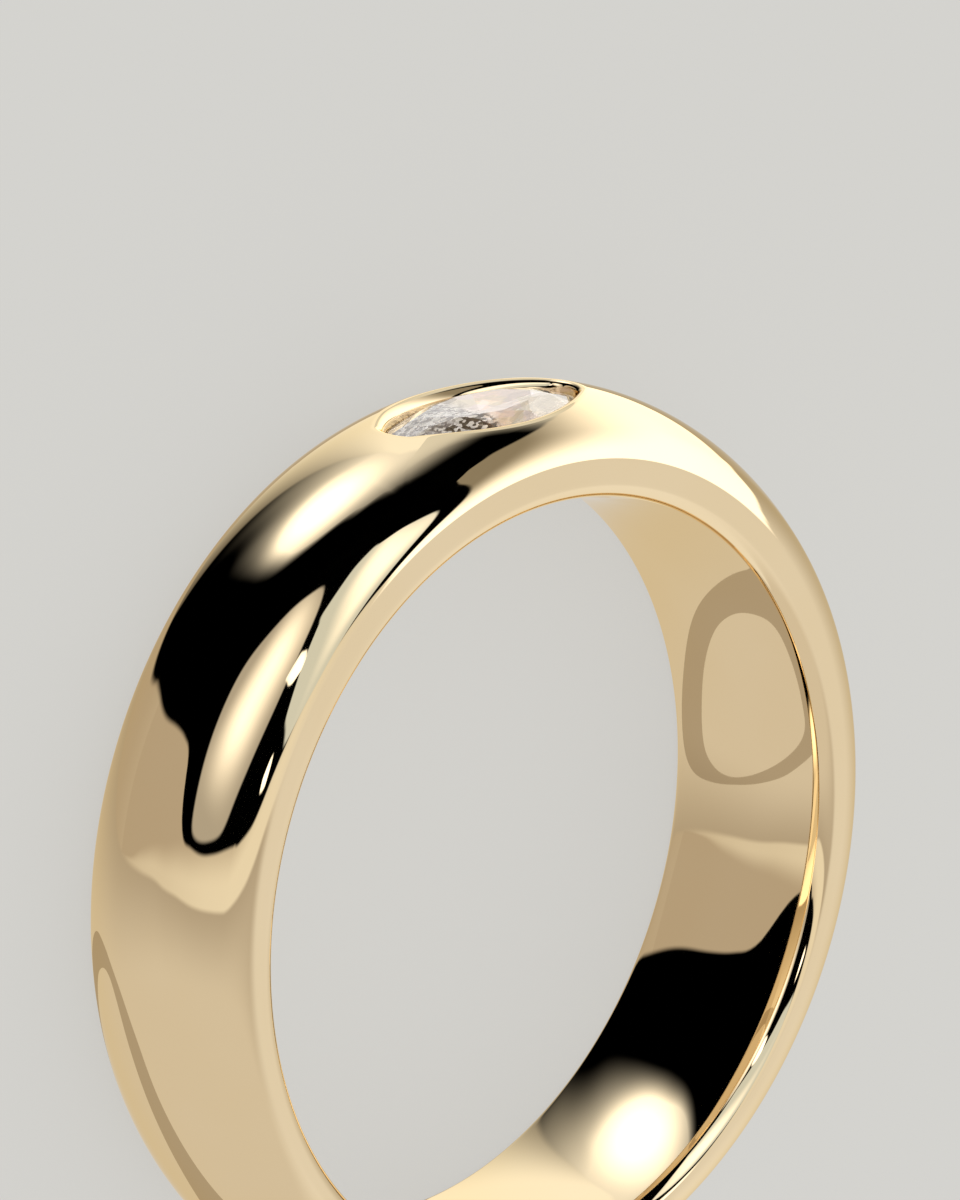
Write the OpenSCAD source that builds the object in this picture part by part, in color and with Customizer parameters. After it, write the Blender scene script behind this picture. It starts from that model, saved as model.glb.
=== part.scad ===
// Domed gold ring with one flush-set diamond, lying on its side with the stone towards -Y.
// Millimetres. The origin is below the middle of the domed outside, on the surface it rests on.

/* [Band] */
// Diameter of the bore at its middle, which is the finger size
bore_d = 16.88; // [15:0.1:19]
// Width of the band between its flat sides
band_w = 4.85; // [4.7:0.05:5]
// Thickness at the crown, where the stone sits
crown_t = 2.48; // [2.38:0.02:2.7]
// Thickness at the back of the finger
back_t = 1.96; // [1.92:0.02:2.2]
// Radius of the domed outside, measured across the band
dome_r = 3.81; // [3.7:0.02:4.1]
// Radius of the shoulder between the dome and the flat side
shoulder_r = 0.81; // [0.7:0.01:0.84]
// Radius of the bore's gentle rounding, measured across the band
bore_round_r = 8.4; // [8:0.1:9.6]
// Radius of the rounded edge between the bore and the flat side
edge_r = 0.34; // [0.24:0.01:0.36]

/* [Opening and seat] */
// Length of the opening round the finger
opening_l = 5.64; // [5.4:0.04:5.8]
// Width of the opening across the band
opening_w = 2.7; // [2.5:0.05:2.8]
// Radius of the opening's two pointed ends
tip_r = 0.55; // [0.45:0.05:0.65]
// Depth of the stone's girdle below the crest of the dome
girdle_depth = 0.68; // [0.63:0.01:0.73]
// Gap between the stone's underside and the seat's steps
seat_gap = 0.08; // [0.06:0.01:0.12]
// Sizes of the seat's steps as shares of the opening, the last one open to the bore
seat_steps = [1, 0.8, 0.58, 0.36];

/* [Stone] */
// Gap round the stone in its opening
stone_gap = 0.03; // [0.02:0.01:0.05]
// Height of the crown, from the girdle to the table
crown_h = 0.37; // [0.3:0.01:0.42]
// Depth of the pavilion, from the girdle to the culet
pavilion_h = 1.15; // [1:0.01:1.2]
// Thickness of the girdle
girdle_t = 0.06; // [0.04:0.01:0.08]
// Width of the table as a share of the stone
table_share = 0.57; // [0.53:0.01:0.62]
// Reach of the lower halves from the girdle towards the culet, as a share
lower_share = 0.76; // [0.7:0.01:0.8]

/* [Hidden] */
$fn = 180;
gold = [0.86, 0.72, 0.48];
diamond = [0.9, 0.92, 0.95, 0.6];
bore_r = bore_d / 2;
half_w = band_w / 2;
// The outside is turned about an axis that lies nearer the stone than the bore's axis does
offset_y = (crown_t - back_t) / 2;
outer_r = bore_r + (crown_t + back_t) / 2;
dome_c = outer_r - dome_r;
// Height of the girdle above the centre of the bore
girdle_h = bore_r + crown_t - girdle_depth;
shoulder_z = half_w - shoulder_r;
shoulder_c = dome_c + sqrt(pow(dome_r - shoulder_r, 2) - pow(shoulder_z, 2));
// A size well past the ring, for whatever is trimmed
far = 16;
bore_steps = 7;
edge_steps = 7;
girdle_sides = 64;
facet_box = 9;

// Radius of the long arcs that pass smoothly into ends of radius r on an l by w outline
function flank_r(l, w, r) = (pow(l / 2 - r, 2) + pow(w / 2, 2) - pow(r, 2)) / (w - 2 * r);

// Pointed oval of two long arcs and two small round ends, l along X and w along Y
module pointed_oval(l, w, r) {
    long_r = flank_r(l, w, r);
    long_c = long_r - w / 2;
    end_x = l / 2 - r;
    join_x = long_r * end_x / (long_r - r);
    intersection() {
        translate([0, -long_c]) circle(long_r);
        translate([0, long_c]) circle(long_r);
        square([2 * join_x, 2 * w], center = true);
    }
    for (side = [-1, 1]) translate([side * end_x, 0]) circle(r);
}

// Puts a shape drawn in plan, with its height along Z, over the bore on the stone's axis
module on_stone_axis(height = 0) {
    translate([0, offset_y, half_w]) rotate([90, 0, 0]) translate([0, 0, height]) children();
}

// Section of the domed outside: a dome arc, two shoulder arcs and flat sides
module outside_section() {
    lean = atan2(shoulder_z, shoulder_c - dome_c);
    intersection() {
        translate([dome_c, 0]) circle(dome_r);
        polygon([
            [dome_c, 0],
            [dome_c + far * cos(lean), far * sin(lean)],
            [dome_c + far * cos(lean), -far * sin(lean)],
        ]);
    }
    for (side = [-1, 1]) translate([shoulder_c, side * shoulder_z]) circle(shoulder_r);
    translate([bore_r / 2, -half_w]) square([shoulder_c - bore_r / 2, band_w]);
}

// Points on an arc from one angle to another, the first one left out if it is shared
function arc_points(c, r, start, end, steps, first = 0) =
    [for (i = [first : steps]) let(a = start + i * (end - start) / steps) c + r * [cos(a), sin(a)]];

// Section of all that lies round the bore: its gently rounded wall and the two rounded edges.
// The middle one of the bore's steps is straight, and stands at the bore's own radius.
module inside_section() {
    wall_end = asin((half_w - edge_r) / (bore_round_r - edge_r));
    wall_c = bore_r + bore_round_r * cos(wall_end / bore_steps);
    edge_c = wall_c - (bore_round_r - edge_r) * cos(wall_end);
    wall = arc_points([wall_c, 0], bore_round_r, 180 + wall_end, 180 - wall_end, bore_steps);
    edge = arc_points([edge_c, half_w - edge_r], edge_r, 180 - wall_end, 90, edge_steps, 1);
    // The last step of the edge carries on a little past the side that it meets
    past = edge[edge_steps - 1] * 2 - edge[edge_steps - 2];
    upper = concat(edge, [past, [far, past.y]]);
    polygon(concat(
        wall,
        upper,
        [for (i = [len(upper) - 1 : -1 : 0]) [upper[i].x, -upper[i].y]]
    ));
}

// Stepped hole that carries the stone and opens into the bore
module seat() {
    for (i = [0 : len(seat_steps) - 1]) {
        share = seat_steps[i];
        last = i == len(seat_steps) - 1;
        floor_h = last ? bore_r - crown_t
            : girdle_h - girdle_t - seat_gap
                - lower_top * (1 - seat_steps[i + 1] * cos(11.25));
        on_stone_axis(floor_h)
            linear_extrude(bore_r + 2 * crown_t - floor_h)
                scale(share) pointed_oval(opening_l, opening_w, tip_r);
    }
}

module band() {
    color(gold)
        difference() {
            intersection() {
                translate([0, 0, half_w]) rotate_extrude() outside_section();
                translate([0, offset_y, half_w]) rotate_extrude() inside_section();
            }
            seat();
        }
}

// Sizes of the stone, and how far its outline reaches along a direction
stone_l = opening_l - 2 * stone_gap;
stone_w = opening_w - 2 * stone_gap;
stone_tip_r = tip_r - stone_gap;
stone_flank_r = flank_r(stone_l, stone_w, stone_tip_r);
function reach(a) = abs(tan(a)) * (stone_l / 2 - stone_tip_r) < stone_flank_r - stone_w / 2 && cos(a) != 0
    ? (stone_l / 2 - stone_tip_r) * abs(cos(a)) + stone_tip_r
    : stone_flank_r - (stone_flank_r - stone_w / 2) * abs(sin(a));
// Direction that a facet of a round stone takes on this longer one
function turned(a) = atan2(stone_l * sin(a), stone_w * cos(a));

// Heights over the middle of the stone at which the crown's and pavilion's facets would meet
main_top = crown_h / (1 - table_share);
star_side = table_share * cos(22.5);
star_fall = 0.57 * main_top;
star_meet = (main_top - crown_h - star_fall * star_side) / (main_top * cos(22.5) - star_fall);
upper_top = main_top * (1 - star_meet * cos(22.5)) / (1 - star_meet * cos(11.25));
lower_end = 1 - lower_share;
lower_top = pavilion_h * (1 - lower_end * cos(22.5)) / (1 - lower_end * cos(11.25));

// Everything within one facet, whose plane passes height over the middle and 0 at the reach
module within(a, height, fall) {
    away = turned(a);
    translate([0, 0, height]) rotate([0, 0, away]) rotate([0, atan(fall / reach(away)), 0])
        translate([-facet_box / 2, -facet_box / 2, -facet_box]) cube(facet_box);
}

// All that lies under the table and within the crown's main, star and upper facets
module under_crown() {
    intersection() {
        translate([-facet_box / 2, -facet_box / 2, crown_h - facet_box]) cube(facet_box);
        intersection_for (i = [0 : 7]) within(45 * i, main_top, main_top);
        intersection_for (i = [0 : 7])
            within(45 * i + 22.5, crown_h + star_fall * star_side, star_fall);
        intersection_for (i = [0 : 15]) within(22.5 * i + 11.25, upper_top, upper_top);
    }
}

// The same for the pavilion's main and lower facets, drawn with the culet up
module under_pavilion() {
    intersection_for (i = [0 : 7]) within(45 * i, pavilion_h, pavilion_h);
    intersection_for (i = [0 : 15]) within(22.5 * i + 11.25, lower_top, lower_top);
}

// Points round the stone's outline, one for each direction that its flat sides face
function outline_point(a) = let(
        tip_c = stone_l / 2 - stone_tip_r,
        flank_c = stone_flank_r - stone_w / 2
    )
    abs(tan(a)) * tip_c < flank_c
        ? [sign(cos(a)) * tip_c + stone_tip_r * cos(a), stone_tip_r * sin(a)]
        : [stone_flank_r * cos(a), stone_flank_r * sin(a) - sign(sin(a)) * flank_c];

module stone() {
    color(diamond)
        on_stone_axis(girdle_h)
            intersection() {
                translate([0, 0, -2 * pavilion_h])
                    linear_extrude(4 * pavilion_h)
                        polygon([for (i = [0 : girdle_sides - 1])
                            outline_point(turned((i + 0.5) * 360 / girdle_sides))]);
                under_crown();
                translate([0, 0, -girdle_t]) mirror([0, 0, 1]) under_pavilion();
            }
}

band();
stone();
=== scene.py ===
"""A domed gold ring with a flush-set stone, lying on its side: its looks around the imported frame.

Sizes are in millimetres, and MM turns them into the frame's metres. The studio's angles are in
degrees. Angles round the band are in radians, start at the stone, towards -Y, and run towards +X.
"""

from collections import namedtuple

import bpy
import numpy as np
from mathutils import Matrix, Vector


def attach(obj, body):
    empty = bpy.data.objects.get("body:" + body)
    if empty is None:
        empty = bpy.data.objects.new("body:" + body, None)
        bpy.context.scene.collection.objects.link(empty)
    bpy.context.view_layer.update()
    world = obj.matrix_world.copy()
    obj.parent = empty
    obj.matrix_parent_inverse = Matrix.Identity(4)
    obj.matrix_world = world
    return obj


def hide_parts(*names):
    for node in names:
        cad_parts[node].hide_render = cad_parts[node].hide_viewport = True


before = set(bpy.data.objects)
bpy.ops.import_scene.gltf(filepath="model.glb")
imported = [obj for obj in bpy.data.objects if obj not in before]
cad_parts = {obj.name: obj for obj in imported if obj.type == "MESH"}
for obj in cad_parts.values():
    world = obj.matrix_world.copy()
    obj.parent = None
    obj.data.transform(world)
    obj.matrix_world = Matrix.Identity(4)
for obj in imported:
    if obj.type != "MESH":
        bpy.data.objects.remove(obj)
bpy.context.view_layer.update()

MM = 0.001

# Sizes of the band, as in the part's source
BORE_R = 8.44
BAND_W = 4.85
CROWN_T = 2.48
BACK_T = 1.96
DOME_R = 3.81
SHOULDER_R = 0.81
BORE_ROUND_R = 8.4
EDGE_R = 0.34
HALF_W = BAND_W / 2
BORE_Y = (CROWN_T - BACK_T) / 2
OUTER_R = BORE_R + (CROWN_T + BACK_T) / 2
DOME_C = OUTER_R - DOME_R
SHOULDER_Z = HALF_W - SHOULDER_R
SHOULDER_C = DOME_C + np.sqrt((DOME_R - SHOULDER_R) ** 2 - SHOULDER_Z**2)
WALL_C = BORE_R + BORE_ROUND_R
WALL_END = np.arcsin((HALF_W - EDGE_R) / (BORE_ROUND_R - EDGE_R))
EDGE_C = WALL_C - (BORE_ROUND_R - EDGE_R) * np.cos(WALL_END)

# The opening across the crown, its lip, rounded more along its flanks than at its tips, and the
# funnel that carries the stone. Depths are below the crest of the dome.
OPENING_L = 5.64
OPENING_W = 2.7
TIP_R = 0.55
LIP_R = 0.25
LIP_TIP_R = 0.12
GIRDLE_DEPTH = 0.68
SEAT_BELOW_GIRDLE = 0.16
SEAT_DEPTH = GIRDLE_DEPTH + SEAT_BELOW_GIRDLE
SEAT_END_DEPTH = 1.78
SEAT_END_SHARE = 0.36
HOLE_EDGE_R = 0.06

# How finely the band is divided
COLUMNS = 480
DOME_ROWS = 40
WALL_ROWS = 40
SHOULDER_ROWS = 20
SIDE_ROWS = 4
EDGE_ROWS = 14
PATCH_COLUMNS = 64
PATCH_ROWS = 34
PATCH_LOOPS = 16
PATCH_GROWTH = 1.12
LIP_ROWS = 8
OPENING_WALL_ROWS = 3
SEAT_ROWS = 6


def round_axis(radius, angle, axis_y):
    """Places in plan at a radius and an angle round an axis that stands at axis_y."""
    return radius * np.sin(angle), axis_y - radius * np.cos(angle)


def half_section(turn):
    """Upper half of the section at each angle round the band, from the bore to the crest.

    Returns one row for each point: its x, y and z for every angle in turn. The bore and its edge
    are turned about one axis, and the flat side, the shoulder and the dome about another.
    """
    rows = []

    def add_arc(centre_r, centre_z, radius, start, end, steps, axis_y, first=1):
        for a in np.linspace(start, end, steps + 1)[first:]:
            x, y = round_axis(centre_r + radius * np.cos(a), turn, axis_y)
            rows.append([x, y, np.full_like(turn, centre_z + radius * np.sin(a))])

    wall_end = np.pi - WALL_END
    upright = np.pi / 2
    dome_end = np.arctan2(SHOULDER_Z, SHOULDER_C - DOME_C)
    add_arc(WALL_C, 0, BORE_ROUND_R, np.pi, wall_end, WALL_ROWS // 2, BORE_Y, first=0)
    add_arc(EDGE_C, HALF_W - EDGE_R, EDGE_R, wall_end, upright, EDGE_ROWS, BORE_Y)
    side_start = np.array(rows[-1])
    side_end = np.array([*round_axis(SHOULDER_C, turn, 0), np.full_like(turn, HALF_W)])
    for share in np.linspace(0, 1, SIDE_ROWS + 1)[1:]:
        rows.append(list(side_start + (side_end - side_start) * share))
    add_arc(SHOULDER_C, SHOULDER_Z, SHOULDER_R, upright, dome_end, SHOULDER_ROWS, 0)
    add_arc(DOME_C, 0, DOME_R, dome_end, 0, DOME_ROWS // 2, 0)
    return np.array(rows)


def section_grid(turn):
    """The whole closed section at each angle: bore, upper side, dome and lower side."""
    upper = half_section(turn)
    lower = upper[-2:0:-1] * np.array([1, 1, -1])[None, :, None]
    return np.concatenate([upper, lower]).transpose(0, 2, 1)


def oval_outline(length, width, tip_r, grow=0.0):
    """Points and outward directions round a pointed oval, counted as the patch's edge is."""
    length, width, tip_r = length + 2 * grow, width + 2 * grow, tip_r + grow
    end = length / 2 - tip_r
    flank_r = (end**2 + (width / 2) ** 2 - tip_r**2) / (width - 2 * tip_r)
    centre = flank_r - width / 2
    join = np.arctan2(centre, end)
    tip = np.linspace(0, join, PATCH_ROWS // 2 + 1)
    flank = np.linspace(join, np.pi / 2, PATCH_COLUMNS // 2 + 1)[1:]
    tip_points = np.stack([end + tip_r * np.cos(tip), tip_r * np.sin(tip)], 1)
    flank_points = np.stack([flank_r * np.cos(flank), flank_r * np.sin(flank) - centre], 1)
    quarter = np.concatenate([tip_points, flank_points])
    angles = np.concatenate([tip, flank])
    facing = np.stack([np.cos(angles), np.sin(angles)], 1)

    def whole(part):
        left = part[::-1][1:] * [-1, 1]
        top = np.concatenate([part, left])
        return np.concatenate([top, top[::-1][1:-1] * [1, -1]])

    return whole(quarter), whole(facing)


def patch_edge(middle_row, rows, columns):
    """Grid rows and columns round a patch about the stone's axis, from its +X edge towards +Z."""
    half_r, half_c = rows // 2, columns // 2
    right = [(r, half_c) for r in range(0, half_r)]
    top = [(half_r, c) for c in range(half_c, -half_c, -1)]
    left = [(r, -half_c) for r in range(half_r, -half_r, -1)]
    bottom = [(-half_r, c) for c in range(-half_c, half_c)]
    last = [(r, half_c) for r in range(-half_r, 0)]
    return [(middle_row + r, c) for r, c in right + top + left + bottom + last]


def fillet(centres, start, end, radius, steps):
    """Loops of points on the balls about the centres, turning from one direction to the other."""
    angle = np.arccos(np.clip((start * end).sum(1), -1, 1))[:, None]
    loops = []
    for share in np.linspace(0, 1, steps + 1):
        turned = np.sin((1 - share) * angle) * start + np.sin(share * angle) * end
        loops.append(centres + radius * turned / np.sin(angle))
    return loops


def in_space(plan, y):
    """Points over a plan drawn along X and Z, at the heights y."""
    return np.stack([plan[:, 0], np.broadcast_to(y, len(plan)), plan[:, 1]], 1)


def growing_shares(count, growth):
    """Shares from 0 to 1 in steps that each grow by the same factor."""
    steps = growth ** np.arange(count)
    return np.concatenate([[0], np.cumsum(steps) / steps.sum()])


def dome_point(place):
    """Point of the dome at an angle round the band and an angle across it."""
    x, y = round_axis(DOME_C + DOME_R * np.cos(place[:, 1]), place[:, 0], 0)
    return np.stack([x, y, DOME_R * np.sin(place[:, 1])], 1)


def bore_point(place):
    """Point of the bore at an angle round it and a height."""
    x, y = round_axis(WALL_C - np.sqrt(BORE_ROUND_R**2 - place[:, 1] ** 2), place[:, 0], BORE_Y)
    return np.stack([x, y, place[:, 1]], 1)


def opening_loops(dome_edge, bore_edge):
    """Loops from the dome, over the lip, down the seat and out into the bore."""
    crest_y = -OUTER_R

    def inward(facing):
        return in_space(-facing, 0.0)

    wall, facing = oval_outline(OPENING_L, OPENING_W, TIP_R)
    lip_r = LIP_R + (LIP_TIP_R - LIP_R) * facing[:, 0] ** 2
    spine = wall + facing * lip_r[:, None]
    tube_r = DOME_R - lip_r
    tube_axis_r = DOME_C + np.sqrt(tube_r**2 - spine[:, 1] ** 2)
    centres = in_space(spine, -np.sqrt(tube_axis_r**2 - spine[:, 0] ** 2))
    turn = np.arctan2(centres[:, 0], -centres[:, 1])
    across = np.arcsin(centres[:, 2] / tube_r)
    outward = np.stack(
        [np.cos(across) * np.sin(turn), -np.cos(across) * np.cos(turn), np.sin(across)], 1
    )
    lip = fillet(centres, outward, inward(facing), lip_r[:, None], LIP_ROWS)
    start = np.stack([turn, across], 1)
    shares = growing_shares(PATCH_LOOPS, PATCH_GROWTH)[::-1][1:-1]
    loops = [dome_point(start + (dome_edge - start) * s) for s in shares] + lip

    def seat_loop(share, depth):
        outline, _ = oval_outline(OPENING_L * share, OPENING_W * share, TIP_R * share)
        return in_space(outline, crest_y + depth)

    top = lip[-1][:, 1]
    for share in np.linspace(0, 1, OPENING_WALL_ROWS + 1)[1:]:
        loops.append(in_space(wall, top + (crest_y + SEAT_DEPTH - top) * share))
    for share in np.linspace(0, 1, SEAT_ROWS + 1)[1:]:
        size = 1 + (SEAT_END_SHARE - 1) * share
        loops.append(seat_loop(size, SEAT_DEPTH + (SEAT_END_DEPTH - SEAT_DEPTH) * share))

    end_size = [OPENING_L * SEAT_END_SHARE, OPENING_W * SEAT_END_SHARE, TIP_R * SEAT_END_SHARE]
    spine, facing = oval_outline(*end_size, HOLE_EDGE_R)
    ball_r = WALL_C - np.sqrt((BORE_ROUND_R - HOLE_EDGE_R) ** 2 - spine[:, 1] ** 2)
    centres = in_space(spine, BORE_Y - np.sqrt(ball_r**2 - spine[:, 0] ** 2))
    turn = np.arctan2(centres[:, 0], BORE_Y - centres[:, 1])
    across = np.arcsin(centres[:, 2] / (BORE_ROUND_R - HOLE_EDGE_R))
    to_axis = np.stack(
        [-np.cos(across) * np.sin(turn), np.cos(across) * np.cos(turn), np.sin(across)], 1
    )
    loops += fillet(centres, inward(facing), to_axis, HOLE_EDGE_R, LIP_ROWS)
    contact = loops[-1]
    start = np.stack([np.arctan2(contact[:, 0], BORE_Y - contact[:, 1]), contact[:, 2]], 1)
    shares = growing_shares(PATCH_LOOPS, PATCH_GROWTH)[1:-1]
    loops += [bore_point(start + (bore_edge - start) * s) for s in shares]
    return loops


def band_mesh():
    """The whole band as one closed mesh, in metres."""
    turn = np.arange(COLUMNS) * 2 * np.pi / COLUMNS
    grid = section_grid(turn)
    rows = len(grid)
    crest_row = rows // 2

    def index(r, c):
        return (r % rows) * COLUMNS + c % COLUMNS

    def is_open(r, c):
        """Whether a face lies in one of the two patches that the opening's loops fill."""
        from_crest = (r - crest_row + rows // 2) % rows - rows // 2
        from_bore = (r + rows // 2) % rows - rows // 2
        column = (c + COLUMNS // 2) % COLUMNS - COLUMNS // 2
        in_columns = -PATCH_COLUMNS // 2 <= column < PATCH_COLUMNS // 2
        in_rows = any(-PATCH_ROWS // 2 <= v < PATCH_ROWS // 2 for v in (from_crest, from_bore))
        return in_columns and in_rows

    faces = [
        (index(r, c), index(r + 1, c), index(r + 1, c + 1), index(r, c + 1))
        for r in range(rows)
        for c in range(COLUMNS)
        if not is_open(r, c)
    ]

    # Rows run from the bore up and over the dome, so +Z lies at lower rows than the crest
    # and at higher rows than the middle of the bore.
    above_crest = patch_edge(crest_row, PATCH_ROWS, PATCH_COLUMNS)
    dome_edge = [(2 * crest_row - r, c) for r, c in above_crest]
    bore_edge = patch_edge(0, PATCH_ROWS, PATCH_COLUMNS)
    dome_ids = [index(r, c) for r, c in dome_edge]
    bore_ids = [index(r, c) for r, c in bore_edge]
    points = grid.reshape(-1, 3)
    at_dome, at_bore = points[dome_ids], points[bore_ids]
    column_turn = np.array([2 * np.pi * c / COLUMNS for _, c in dome_edge])
    dome_place = np.stack([column_turn, np.arcsin(at_dome[:, 2] / DOME_R)], 1)
    bore_place = np.stack([column_turn, at_bore[:, 2]], 1)
    loops = opening_loops(dome_place, bore_place)

    count = len(dome_ids)
    ids = [dome_ids]
    for k in range(len(loops)):
        first = len(points) + k * count
        ids.append(list(range(first, first + count)))
    ids.append(bore_ids)
    points = np.concatenate([points, *loops])
    for outer, inner in zip(ids, ids[1:]):
        faces += [
            (outer[k], outer[(k + 1) % count], inner[(k + 1) % count], inner[k])
            for k in range(count)
        ]

    faces = np.array(faces)
    used = np.unique(faces)
    renumber = np.zeros(len(points), int)
    renumber[used] = np.arange(len(used))
    points = (points[used] + [0, 0, HALF_W]) * MM
    return points, renumber[faces]


def make_band():
    points, faces = band_mesh()
    mesh = bpy.data.meshes.new("gold_band")
    mesh.from_pydata(points.tolist(), [], faces.tolist())
    mesh.validate()
    mesh.update()
    mesh.shade_smooth()
    band = bpy.data.objects.new("gold_band", mesh)
    bpy.context.scene.collection.objects.link(band)
    return band


# The camera stands where the photograph was taken from, as seen from the ring. The photograph
# shows the ring standing, so the view is rolled to keep the ring the way up that it shows.
CAMERA_AT = (269.426, -119.705, 268.503)
CAMERA_AIM = (3.009, -7.06, 5.417)
CAMERA_UP = (-0.20183, -0.95759, -0.20562)
CAMERA_LENS = 665.6
SENSOR_W = 36
CLIP_START, CLIP_END = 10, 20000


def make_camera():
    data = bpy.data.cameras.new("camera")
    data.sensor_fit = "HORIZONTAL"
    data.sensor_width = SENSOR_W
    data.lens = CAMERA_LENS
    data.clip_start = CLIP_START * MM
    data.clip_end = CLIP_END * MM
    camera = bpy.data.objects.new("camera", data)
    bpy.context.scene.collection.objects.link(camera)
    place = Vector(CAMERA_AT) * MM
    back = (place - Vector(CAMERA_AIM) * MM).normalized()
    right = Vector(CAMERA_UP).cross(back).normalized()
    up = back.cross(right)
    turned = Matrix((right, up, back)).transposed().to_4x4()
    camera.matrix_world = Matrix.Translation(place) @ turned
    bpy.context.scene.camera = camera


# The studio round the ring. A direction is given by two angles in degrees as seen from the ring:
# its turn from the camera, to the photograph's right, and its height in the photograph.
STUDIO_RIGHT = (-0.7036, -0.0043, 0.7106)
STUDIO_UP = CAMERA_UP
STUDIO_BACK = (0.6814, -0.2881, 0.6729)
FULL_TURN = 360
DEGREES = 180 / np.pi

DARK = (0.0, 0.0, 0.0)
BACKDROP_CREASE = (0.435, 0.40, 0.36)
BACKDROP_WALL = (0.475, 0.43, 0.38)
BACKDROP_LIT = (0.83, 0.82, 0.77)
BACKDROP = (0.67, 0.65, 0.62)
SIDE_DIM = (0.43, 0.40, 0.35)
SIDE_BRIGHT = (0.86, 0.87, 0.88)
STUDIO_AVERAGE = (0.80, 0.795, 0.775)
# The warm light that fills the stone, and its share beside what the stone lets through
STONE_LIGHT = (1.05, 0.95, 0.88)
STONE_LIGHT_SHARE = 0.55

# The soft overhead light, round one direction and brightest near another
GLOW_AT = (-128, 61)
GLOW_START, GLOW_FULL = 39.0, 20.0
GLOW_CORE_AT = (-105, 68)
GLOW_CORE_R = 19.0
GLOW_EDGE = (0.93, 0.96, 1.0)
GLOW_CORE = (2.4, 2.4, 2.4)

# How softly the backdrop passes into the dark and across its crease, how far below the crease it
# takes to reach its own colour, and the heights and turns over which its side brightens
DARK_SOFTNESS = 0.7
CREASE_SOFTNESS = 0.8
BELOW_CREASE = (5.0, -20.0)
SIDE_HEIGHTS = (20.0, -26.0)
SIDE_TURNS = (66.0, 100.0)
# Where the light above the crease starts and is at its full, as shares of its reach
LIT_START, LIT_FULL = 1.15, 0.3

# Each card is a convex outline in turns and heights, with rounded corners and a soft edge. It
# brightens where all its ramps do, each between a start and an end in degrees. A ramp of kind line
# is measured along a direction of turn and height, one of kind edge inwards from the card's edge,
# and one of kind place as the angle from a place.
Card = namedtuple("Card", "corners rounding edge dim bright ramps")
Ramp = namedtuple("Ramp", "kind where start end")
CARDS_BEHIND_BACKDROP = {
    "rear_card": Card(
        ((140, 30), (136, 60), (150, 80), (190, 84), (190, 30)),
        6, 26, (0.75, 0.78, 0.8), (0.75, 0.78, 0.8), (),
    ),
    "wide_card": Card(
        ((62, 58), (62, 46), (75, 6), (83, -20), (186, -20), (186, 31), (156, 47), (132, 57.5))
        + ((120, 61.5), (108, 64.5), (96, 67), (84, 67), (72, 65)),
        2, 1.2, (0.27, 0.25, 0.21), (1.7, 1.72, 1.75), (Ramp("place", (140, -18), 84, 50),),
    ),
    "left_card": Card(
        ((-200, 10), (-149.5, 10), (-148.5, 40), (-150, 62), (-160, 76), (-200, 80)),
        4, 3, (0.15, 0.14, 0.13), (1.05, 1.08, 1.1), (Ramp("line", (-0.85, 0.3), 132, 156),),
    ),
}
CARDS_BEFORE_BACKDROP = {
    "warm_card": Card(
        ((-52.8, -1), (-52.8, 22), (-48, 37), (-31.5, 50), (-14, 53.5), (-9.5, 47))
        + ((-9.5, 34), (-12.5, 22), (-31, -4.5), (-46, -4.5)),
        6, 1.4, (0.45, 0.44, 0.43), (1.63, 1.63, 1.63),
        (
            Ramp("line", (0.854, -0.518), -23, -41),
            Ramp("line", (0.854, -0.518), -56, -40),
            Ramp("line", (0.518, 0.854), -22, 3),
            Ramp("line", (0.518, 0.854), 40, 16),
        ),
    ),
    "cool_card": Card(
        ((-6, 42), (3, 54.5), (13, 59), (25, 55.5), (38, 49), (52, 37), (62, 25), (67.5, 12))
        + ((71.5, -3), (70, -9.5), (48.5, -8.8), (37, -3.2), (25.5, 3), (12, 18)),
        3, 1.2, (0.66, 0.74, 0.80), (1.6, 1.6, 1.6),
        (
            Ramp("line", (0.76, 0.65), 32, 50),
            Ramp("line", (0.76, 0.65), 68, 51),
            Ramp("line", (0.65, -0.76), -44, 0),
            Ramp("line", (0.65, -0.76), 48, 18),
        ),
    ),
    "long_lamp": Card(
        ((-13.5, 28), (-9, 34), (0, 31), (9, 24.5), (11, 20.5), (4, 20.5), (-5, 23.5)),
        1.5, 0.9, (1.6, 1.6, 1.6), (2.4, 2.4, 2.4), (Ramp("edge", None, 0, 3),),
    ),
    "small_lamp": Card(
        ((18, -4), (22.5, -1.9), (26.5, -2.3), (30.5, -5.7), (31, -8.5), (26, -8.5), (20, -7)),
        1.5, 0.9, (1.6, 1.6, 1.6), (2.4, 2.4, 2.4), (Ramp("edge", None, 0, 3),),
    ),
}

# Heights in degrees at turns in degrees: where the dark starts above the backdrop, where the
# backdrop is creased, how far the light on it reaches above the crease and how strong it is,
# and where the overhead light starts and how far up it comes to its full strength
DARK_FROM = (
    (-180, 17.5), (-136, 18), (-130, 19.3), (-122, 21.5), (-96, 22), (-80, 21.5), (-72, 19.8),
    (-68, 18.2), (-65, 15), (-63.3, 11), (-62, 7), (-60, 2), (-57, -2), (-52, -4), (-44, -6.7),
    (-36, -7.8), (-20, -8.4), (-12, -10), (0, -11.2), (12, -12.2), (24, -12.8), (36, -12.2),
    (48, -10.6), (60, -9), (77, -7.5), (95, -14), (104, -5), (112, 4), (128, 14.5), (142, 19.5),
    (160, 18), (180, 17.5),
)
CREASE = (
    (-180, 17), (-150, 13), (-128, 7), (-120, 4), (-112, 1.3), (-102, -1.2), (-90, -4), (-78, -7),
    (-70, -10), (-60, -13.3), (-56, -14.8), (-48, -17.5), (-36, -20.3), (-24, -22), (0, -23.3),
    (30, -22.3), (50, -20.3), (70, -17.8), (100, -15), (120, -8), (142, 0), (180, 10),
)
LIT_REACH = ((-180, 0.5), (-102, 1), (-90, 4), (-72, 8), (-56, 12), (-36, 16), (0, 17), (180, 17))
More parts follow.
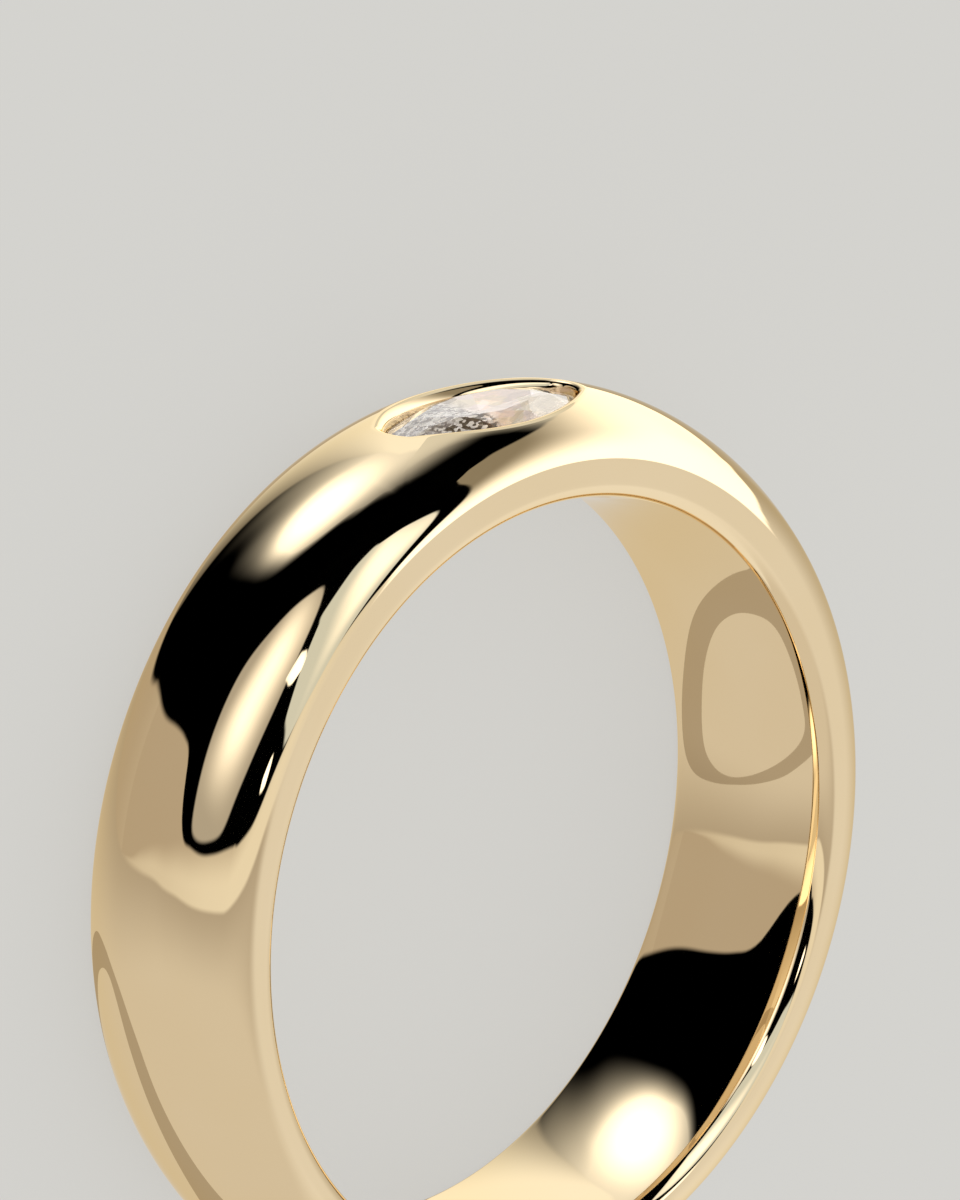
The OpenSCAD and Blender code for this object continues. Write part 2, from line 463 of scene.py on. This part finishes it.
LIT_LEVEL = ((-180, 0), (-110, 0.1), (-102, 0.35), (-84, 0.6), (-72, 0.65), (-56, 0.8))
LIT_LEVEL += ((-36, 0.95), (60, 1), (180, 1))
LIT_LEVEL_SPAN = 4
GLOW_FROM = (
    (-180, 20), (-147, 22), (-132, 37), (-120, 40), (-108, 44.5), (-96, 48.5), (-84, 51.5),
    (-72, 55.5), (-60, 63), (-48, 71.5), (-36, 74), (-24, 77.5), (0, 79), (36, 79), (60, 76),
    (84, 68), (108, 60), (180, 50),
)
GLOW_RISE = (
    (-180, 46), (-147, 44), (-132, 24), (-120, 18.5), (-108, 13), (-96, 9.5), (-84, 9), (-72, 7),
    (-48, 5.5), (0, 5), (36, 5), (60, 6), (180, 6),
)


CURVE_MIDDLE = 0.5


class Value:
    """A socket of a node tree. Sums on it add Math nodes."""

    def __init__(self, tree, socket):
        self.tree = tree
        self.socket = socket

    def maths(self, operation, *others):
        values = dict(enumerate((self, *others)))
        return add_node(self.tree, "ShaderNodeMath", {"operation": operation}, values)

    def __add__(self, other):
        return self.maths("ADD", other)

    def __sub__(self, other):
        return self.maths("SUBTRACT", other)

    def __rsub__(self, other):
        return self.maths("MULTIPLY_ADD", -1.0, other)

    def __mul__(self, other):
        return self.maths("MULTIPLY", other)

    def __truediv__(self, other):
        return self.maths("DIVIDE", other)

    def __rtruediv__(self, other):
        return add_node(self.tree, "ShaderNodeMath", {"operation": "DIVIDE"}, {0: other, 1: self})

    __radd__ = __add__
    __rmul__ = __mul__


def add_node(tree, kind, settings=(), values=(), output=0):
    """Adds a node, makes its settings, and gives its sockets numbers or links.

    Returns one of the node's own sockets, or None for a node that ends a tree.
    """
    made = tree.nodes.new(kind)
    for name, setting in dict(settings).items():
        if name == "points":
            curve = made.mapping.curves[0]
            for place in setting[1:-1]:
                curve.points.new(*place)
            curve.points[0].location = setting[0]
            curve.points[-1].location = setting[-1]
            made.mapping.update()
        else:
            setattr(made, name, setting)
    for key, value in dict(values).items():
        if isinstance(value, Value):
            tree.links.new(value.socket, made.inputs[key])
        else:
            made.inputs[key].default_value = value
    return Value(tree, made.outputs[output]) if made.outputs else None


def empty_tree(owner):
    """The cleared node tree of a material or of the world."""
    owner.use_nodes = True
    owner.node_tree.nodes.clear()
    return owner.node_tree


def end_tree(shader, kind="ShaderNodeOutputMaterial"):
    add_node(shader.tree, kind, {}, {"Surface": shader})


def fade(value, start, end, shape="SMOOTHSTEP"):
    """0 up to the start, 1 from the end on, and smooth between."""
    return add_node(
        value.tree,
        "ShaderNodeMapRange",
        {"interpolation_type": shape},
        {"Value": value, "From Min": start, "From Max": end},
    )


def dot_product(first, second):
    settings = {"operation": "DOT_PRODUCT"}
    return add_node(first.tree, "ShaderNodeVectorMath", settings, {0: first, 1: second}, "Value")


def mix_shaders(factor, first, second):
    return add_node(factor.tree, "ShaderNodeMixShader", {}, {0: factor, 1: first, 2: second})


def mix_colours(factor, first, second):
    settings = {"data_type": "RGBA"}
    return add_node(factor.tree, "ShaderNodeMix", settings, {0: factor, 6: first, 7: second}, 2)


def studio_direction(place):
    """The direction at a turn and a height, in the ring's frame."""
    turn, height = np.radians(place)
    across = np.cos(height) * np.sin(turn) * np.array(STUDIO_RIGHT)
    towards = np.cos(height) * np.cos(turn) * np.array(STUDIO_BACK)
    return [float(v) for v in across + towards + np.sin(height) * np.array(STUDIO_UP)]


def make_studio():
    """Light from all round: a pale backdrop below, dark above it, cards, lamps and a soft glow."""
    bpy.context.scene.world = bpy.data.worlds.new("studio")
    tree = empty_tree(bpy.context.scene.world)
    facing = add_node(tree, "ShaderNodeTexCoord", output="Generated")
    right, up, back = (dot_product(facing, a) for a in (STUDIO_RIGHT, STUDIO_UP, STUDIO_BACK))
    turn = right.maths("ARCTAN2", back) * DEGREES
    height = up.maths("ARCSINE") * DEGREES
    place = add_node(tree, "ShaderNodeCombineXYZ", {}, {"X": turn, "Y": height, "Z": 1.0})

    def light(colour):
        return add_node(tree, "ShaderNodeBackground", {}, {"Color": (*colour, 1)})

    def profile(rows, span=FULL_TURN):
        """A number read off a curve round the full turn, which holds it as a share of the span."""
        points = [
            (turn_at / FULL_TURN + CURVE_MIDDLE, number / span + CURVE_MIDDLE)
            for turn_at, number in rows
        ]
        share = turn / FULL_TURN + CURVE_MIDDLE
        curve = add_node(tree, "ShaderNodeFloatCurve", {"points": points}, {"Value": share})
        return (curve - CURVE_MIDDLE) * span

    def angle_from(where):
        return dot_product(facing, studio_direction(where)).maths("ARCCOSINE") * DEGREES

    def outside(corners, rounding):
        """Degrees outside a rounded outline, or negative degrees inside it."""
        furthest = None
        for (x0, y0), (x1, y1) in zip(corners, corners[1:] + corners[:1]):
            length = np.hypot(x1 - x0, y1 - y0)
            across, rise = float((y0 - y1) / length), float((x1 - x0) / length)
            distance = dot_product(place, (across, rise, -(x0 * across + y0 * rise)))
            if furthest is None:
                furthest = distance
            else:
                furthest = furthest.maths("SMOOTH_MAX", distance, rounding)
        return furthest

    def clockwise(corners):
        """The corners in the order that puts the inside at negative degrees."""
        turned = sum(
            x0 * y1 - x1 * y0 for (x0, y0), (x1, y1) in zip(corners, corners[1:] + corners[:1])
        )
        return corners if turned < 0 else corners[::-1]

    def lay_card(behind, card):
        """What shows of a card in front of what is behind it."""
        distance = outside(clockwise(card.corners), card.rounding)
        level = None
        for ramp in card.ramps:
            if ramp.kind == "edge":
                measured = distance * -1.0
            elif ramp.kind == "place":
                measured = angle_from(ramp.where)
            else:
                measured = dot_product(place, (*ramp.where, 0.0))
            step = fade(measured, ramp.start, ramp.end)
            level = step if level is None else level * step
        lit = light(card.dim)
        if level is not None:
            lit = mix_shaders(level, lit, light(card.bright))
        return mix_shaders(fade(distance, card.edge / 2, -card.edge / 2), behind, lit)

    rise = fade(height - profile(GLOW_FROM), 0.0, profile(GLOW_RISE), "LINEAR")
    core = fade(angle_from(GLOW_CORE_AT), GLOW_CORE_R, 0.0)
    glow = mix_shaders(core, light(GLOW_EDGE), light(GLOW_CORE))
    glow = mix_shaders(fade(angle_from(GLOW_AT), GLOW_START, GLOW_FULL), light(DARK), glow)
    shader = mix_shaders(rise * rise, light(DARK), glow)
    for card in CARDS_BEHIND_BACKDROP.values():
        shader = lay_card(shader, card)

    over_crease = height - profile(CREASE)
    reach = profile(LIT_REACH)
    lit = fade(over_crease, reach * LIT_START, reach * LIT_FULL)
    lit = lit * profile(LIT_LEVEL, LIT_LEVEL_SPAN)
    above = mix_shaders(lit, light(BACKDROP_WALL), light(BACKDROP_LIT))
    below = mix_shaders(fade(over_crease, *BELOW_CREASE), light(BACKDROP_CREASE), light(BACKDROP))
    backdrop = mix_shaders(fade(over_crease, -CREASE_SOFTNESS, CREASE_SOFTNESS), below, above)
    side = mix_shaders(fade(height, *SIDE_HEIGHTS, "LINEAR"), light(SIDE_DIM), light(SIDE_BRIGHT))
    backdrop = mix_shaders(fade(turn, *SIDE_TURNS), backdrop, side)
    over_edge = height - profile(DARK_FROM)
    shader = mix_shaders(fade(over_edge, DARK_SOFTNESS, -DARK_SOFTNESS), shader, backdrop)
    for card in CARDS_BEFORE_BACKDROP.values():
        shader = lay_card(shader, card)

    # Only polished surfaces show the cards, and all else is lit by their even average. What goes
    # through the stone meets the cards mixed with the stone's own light.
    reflected = add_node(tree, "ShaderNodeLightPath", output="Is Glossy Ray")
    depth = add_node(tree, "ShaderNodeLightPath", output="Transmission Depth")
    through = depth.maths("GREATER_THAN", 0.5)
    shader = mix_shaders(through * STONE_LIGHT_SHARE, shader, light(STONE_LIGHT))
    shader = mix_shaders(reflected.maths("MAXIMUM", through), light(STUDIO_AVERAGE), shader)
    end_tree(shader, "ShaderNodeOutputWorld")


def stage(thing, hidden_from=()):
    """Hides a thing of the studio from some kinds of ray."""
    for ray in hidden_from:
        setattr(thing, "visible_" + ray, False)


# The ring's shadow on the backdrop, which the polish shows: its outer and inner outline on a
# plane behind the ring, as places along X and Z
SHADOW_Y = OUTER_R
SHADOW_OUTER = (
    (-6.6, -3), (-6.6, -9), (-5.6, -16), (-3.2, -23.5), (0.8, -29), (5.5, -31.8), (10, -31.5),
    (14.5, -28), (17.3, -22), (18, -16), (16.6, -9.5), (13.2, -4), (9.6, 0), (6, 3), (0, 3.5),
    (-4.5, 1.5),
)
SHADOW_INNER = (
    (-3.2, -4), (-4, -7), (-3.7, -11), (-1.8, -16), (1.8, -21), (5.5, -24), (9.5, -24.8),
    (12.6, -23.8), (14.6, -21), (15, -16), (13.5, -10), (10.8, -5), (7.8, -2.2), (4, -1.5),
    (0.5, -1.6), (-1.9, -2.3),
)
SHADOW_TINT = (0.64, 0.60, 0.55, 1)
SHADOW_STEPS = 8


def smooth_loop(corners, steps):
    """Points on a smooth closed curve through the corners, steps of them from each corner."""
    corner = np.array(corners, float)
    before, after, beyond = (np.roll(corner, -shift, 0) for shift in (-1, 1, 2))
    points = []
    for share in np.arange(steps) / steps:
        straight = (after - before) * share
        bend = (2 * before - 5 * corner + 4 * after - beyond) * share**2
        turn = (3 * (corner - after) + beyond - before) * share**3
        points.append(corner + (straight + bend + turn) / 2)
    return np.stack(points, 1).reshape(-1, 2)


def make_shadow():
    """A ring that darkens what is reflected through it, and that nothing else sees."""
    outlines = [smooth_loop(corners, SHADOW_STEPS) for corners in (SHADOW_OUTER, SHADOW_INNER)]
    points = in_space(np.concatenate(outlines), SHADOW_Y)
    count = len(outlines[0])
    follow = np.roll(np.arange(count), -1)
    faces = [(k, int(follow[k]), count + int(follow[k]), count + k) for k in range(count)]
    mesh = bpy.data.meshes.new("backdrop_shadow")
    mesh.from_pydata((points * MM).tolist(), [], faces)
    shadow = bpy.data.objects.new("backdrop_shadow", mesh)
    bpy.context.scene.collection.objects.link(shadow)
    material = bpy.data.materials.new("backdrop_shadow")
    tree = empty_tree(material)
    end_tree(add_node(tree, "ShaderNodeBsdfTransparent", {}, {"Color": SHADOW_TINT}))
    mesh.materials.append(material)
    stage(shadow, ("camera", "diffuse", "transmission", "shadow", "volume_scatter"))


FLOOR_SIZE = 4000
FLOOR_COLOUR = (0.80, 0.795, 0.775, 1)
FLOOR_GLOW = (0.665, 0.658, 0.63, 1)
FLOOR_GLOW_SHARE = 0.8


def make_floor():
    """A pale floor that glows a little itself, so that it is as even as a backdrop."""
    bpy.ops.mesh.primitive_plane_add(size=FLOOR_SIZE * MM)
    floor = bpy.context.object
    floor.name = "floor"
    material = bpy.data.materials.new("pale_floor")
    tree = empty_tree(material)
    matt = add_node(tree, "ShaderNodeBsdfDiffuse", {}, {"Color": FLOOR_COLOUR})
    glow = add_node(tree, "ShaderNodeEmission", {}, {"Color": FLOOR_GLOW})
    end_tree(add_node(tree, "ShaderNodeMixShader", {}, {0: FLOOR_GLOW_SHARE, 1: matt, 2: glow}))
    floor.data.materials.append(material)
    stage(floor, ("glossy", "transmission"))


GOLD = (0.98, 0.79, 0.515, 1)
GOLD_DEEPER = (0.97, 0.775, 0.495, 1)
# How much of each colour the gold keeps where it is seen edge on
GOLD_EDGE_TINT = (0.99, 0.89, 0.69, 1)
# The polish varies between these roughnesses, in soft clouds and fine marks of wear. Each is a
# noise, with so much detail, of which the values in between rise from none to full wear.
POLISH_BEST, POLISH_WORST = 0.012, 0.04
CLOUDS_PER_METRE = 260
CLOUD_DETAIL = 2.0
CLOUD_FROM, CLOUD_FULL = 0.35, 0.65
MARKS_PER_METRE = 5200
MARK_DETAIL = 3.0
MARK_FROM, MARK_FULL = 0.5, 0.8
WEAR_SHARE = 0.5


def make_gold():
    """Polished yellow gold, with clouds and fine marks of wear in its polish and its colour."""
    gold = bpy.data.materials.new("polished_gold")
    tree = empty_tree(gold)
    where = add_node(tree, "ShaderNodeTexCoord", output="Object")
    values = {"Vector": where, "Scale": CLOUDS_PER_METRE, "Detail": CLOUD_DETAIL}
    cloud = fade(add_node(tree, "ShaderNodeTexNoise", {}, values), CLOUD_FROM, CLOUD_FULL)
    values = {"Vector": where, "Scale": MARKS_PER_METRE, "Detail": MARK_DETAIL}
    marks = fade(add_node(tree, "ShaderNodeTexNoise", {}, values), MARK_FROM, MARK_FULL)
    wear = cloud * WEAR_SHARE + marks * WEAR_SHARE
    sockets = {
        "Base Color": mix_colours(cloud, GOLD, GOLD_DEEPER),
        "Roughness": wear * (POLISH_WORST - POLISH_BEST) + POLISH_BEST,
        "Specular Tint": GOLD_EDGE_TINT,
        "Metallic": 1,
    }
    end_tree(add_node(tree, "ShaderNodeBsdfPrincipled", {}, sockets))
    return gold


DIAMOND_IOR = 2.42
DIAMOND_CLEARNESS = 0.72
DIAMOND_PAINTED_GLOW = 0.1
# Painted tints of the light inside the stone, from facet to facet, and painted highlights of its
# fine sparkle
FACET_PALE = (1.0, 0.87, 0.81, 1)
FACET_CREAM = (1.0, 0.90, 0.70, 1)
FACET_DEEP = (0.50, 0.42, 0.31, 1)
FACET_PAINTED_SHADE = (0.08, 0.06, 0.04, 1)
SPARKLE_DIM = (0.24, 0.21, 0.20, 1)
SPARKLE_BRIGHT = (1.0, 0.98, 0.96, 1)
FACETS_PER_METRE = 1500
SPARKLES_PER_METRE = 16000
SPARKLE_STRETCH = (0.6, 1, 1)
# How the patches' numbers pass from pale to cream and to deep, and those of the painted sparkles
# from dim to bright, and from none to all of the painted shade of the dark facets
CREAM_FROM, CREAM_FULL = 0.35, 0.4
DEEP_FROM, DEEP_FULL = 0.84, 0.86
BRIGHT_FROM, BRIGHT_FULL = 0.1, 0.9
DARK_SPOT_FROM, DARK_SPOT_FULL = 0.7, 0.6
# Where the painted sparkle starts along X and where it is at its full strength
SPARKLE_FROM, SPARKLE_FULL = 0.2, 0.8
# The dark facets, painted shade: from where to where along X, and from where along Z
DARK_ALONG = (0.45, 1.7)
DARK_ACROSS = 2.9
DARK_EDGE = 0.1


def make_diamond():
    """A clear stone with flat tints of light in patches, and fine sparkle towards one end.

    The light and shade its facets would throw are painted on, helped by a slight painted glow.
    """
    diamond = bpy.data.materials.new("clear_diamond")
    tree = empty_tree(diamond)
    where = add_node(tree, "ShaderNodeTexCoord", output="Object")
    along, across = dot_product(where, (1, 0, 0)), dot_product(where, (0, 0, 1))

    def cells(per_metre, stretch):
        """A number from 0 to 1 for each cell of a pattern of flat patches."""
        settings = {"operation": "MULTIPLY"}
        spread = add_node(tree, "ShaderNodeVectorMath", settings, {0: where, 1: stretch})
        values = {"Vector": spread, "Scale": per_metre}
        patch = add_node(tree, "ShaderNodeTexVoronoi", {}, values, "Color")
        return dot_product(patch, (1, 0, 0))

    facet = cells(FACETS_PER_METRE, (1, 1, 1))
    colour = mix_colours(fade(facet, CREAM_FROM, CREAM_FULL), FACET_PALE, FACET_CREAM)
    colour = mix_colours(fade(facet, DEEP_FROM, DEEP_FULL), colour, FACET_DEEP)
    # Painted glints, in fine cells from dim to bright
    sparkle = cells(SPARKLES_PER_METRE, SPARKLE_STRETCH)
    painted_glint = mix_colours(fade(sparkle, BRIGHT_FROM, BRIGHT_FULL), SPARKLE_DIM, SPARKLE_BRIGHT)
    colour = mix_colours(fade(along, SPARKLE_FROM * MM, SPARKLE_FULL * MM), colour, painted_glint)
    # Painted shade: the dark facets, towards +Z, in spots, between two places along X
    dark = fade(across, DARK_ACROSS * MM, (DARK_ACROSS + DARK_EDGE) * MM)
    dark = dark * fade(sparkle, DARK_SPOT_FROM, DARK_SPOT_FULL)
    for end, inwards in zip(DARK_ALONG, (DARK_EDGE, -DARK_EDGE)):
        dark = dark * fade(along, (end - inwards) * MM, (end + inwards) * MM)
    colour = mix_colours(dark, colour, FACET_PAINTED_SHADE)
    sockets = {
        "Base Color": colour,
        # The painted light also glows a little, though the stone is no lamp
        "Emission Color": colour,
        "Emission Strength": DIAMOND_PAINTED_GLOW,
        "Roughness": 0,
        "IOR": DIAMOND_IOR,
        "Transmission Weight": DIAMOND_CLEARNESS,
    }
    end_tree(add_node(tree, "ShaderNodeBsdfPrincipled", {}, sockets))
    return diamond


make_camera()
band = make_band()
band.data.materials.append(make_gold())
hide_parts("band")
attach(band, "root")

stone = bpy.data.objects["stone"]
diamond = make_diamond()
for slot in stone.material_slots:
    slot.material = diamond

make_studio()
make_shadow()
make_floor()
bpy.context.scene.view_settings.view_transform = "Standard"
